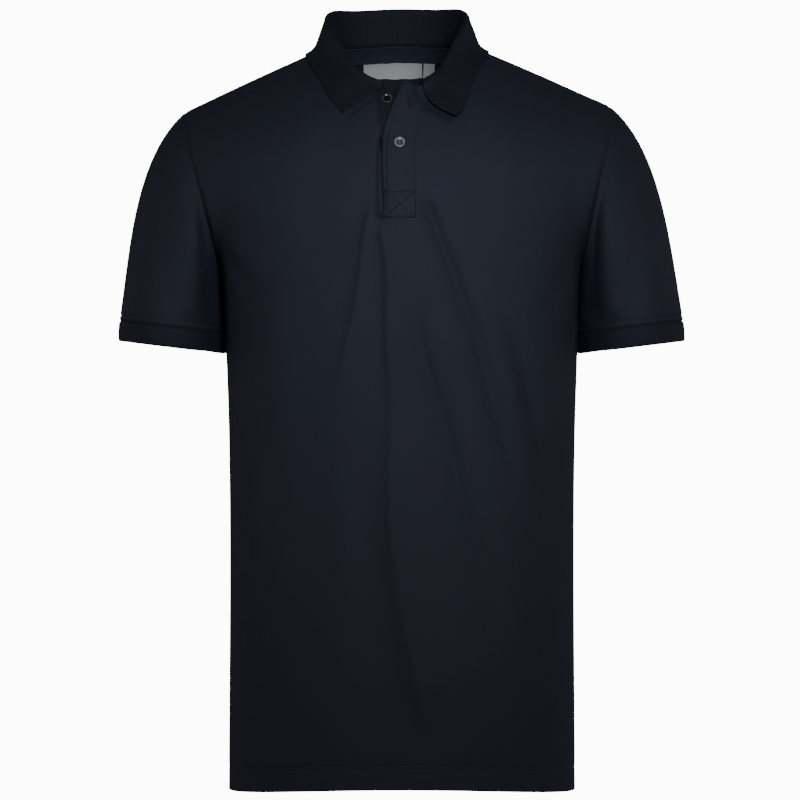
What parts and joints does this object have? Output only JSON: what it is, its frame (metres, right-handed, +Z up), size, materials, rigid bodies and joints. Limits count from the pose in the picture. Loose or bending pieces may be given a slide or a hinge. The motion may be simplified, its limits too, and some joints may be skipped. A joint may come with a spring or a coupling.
{
  "type": "polo shirt",
  "caption": "Short-sleeved knitted polo shirt with a ribbed collar and cuffs and a half-open buttoned neck, standing hollow in its worn shape.",
  "frame": {"origin": "middle of the neck base, level with the neck ends of the shoulder seams, where the wearer's neck and shoulders hold the shirt up", "axes": "+Z up, the front faces -Y, +X towards the wearer's left side"},
  "size_m": [0.5854, 0.2502, 0.8183],
  "materials": {
    "pique": "matt dark navy pique knit",
    "rib": "matt dark navy flat-knit rib",
    "tape": "matt dark navy tape",
    "label": "plain woven pale grey",
    "button_dark": "dark glossy",
    "button_grey": "grey-lilac glossy"
  },
  "bodies": {
    "root": {"front": "pique", "back": "pique", "sleeve_left": "pique", "sleeve_right": "pique", "cuff_left": "rib", "cuff_right": "rib", "collar": "rib", "placket_upper": "pique", "placket_under": "pique", "button_upper": "button_dark", "button_lower": "button_grey", "neck_tape": "tape", "label_main": "label", "label_size": "label"}
  },
  "joints": []
}
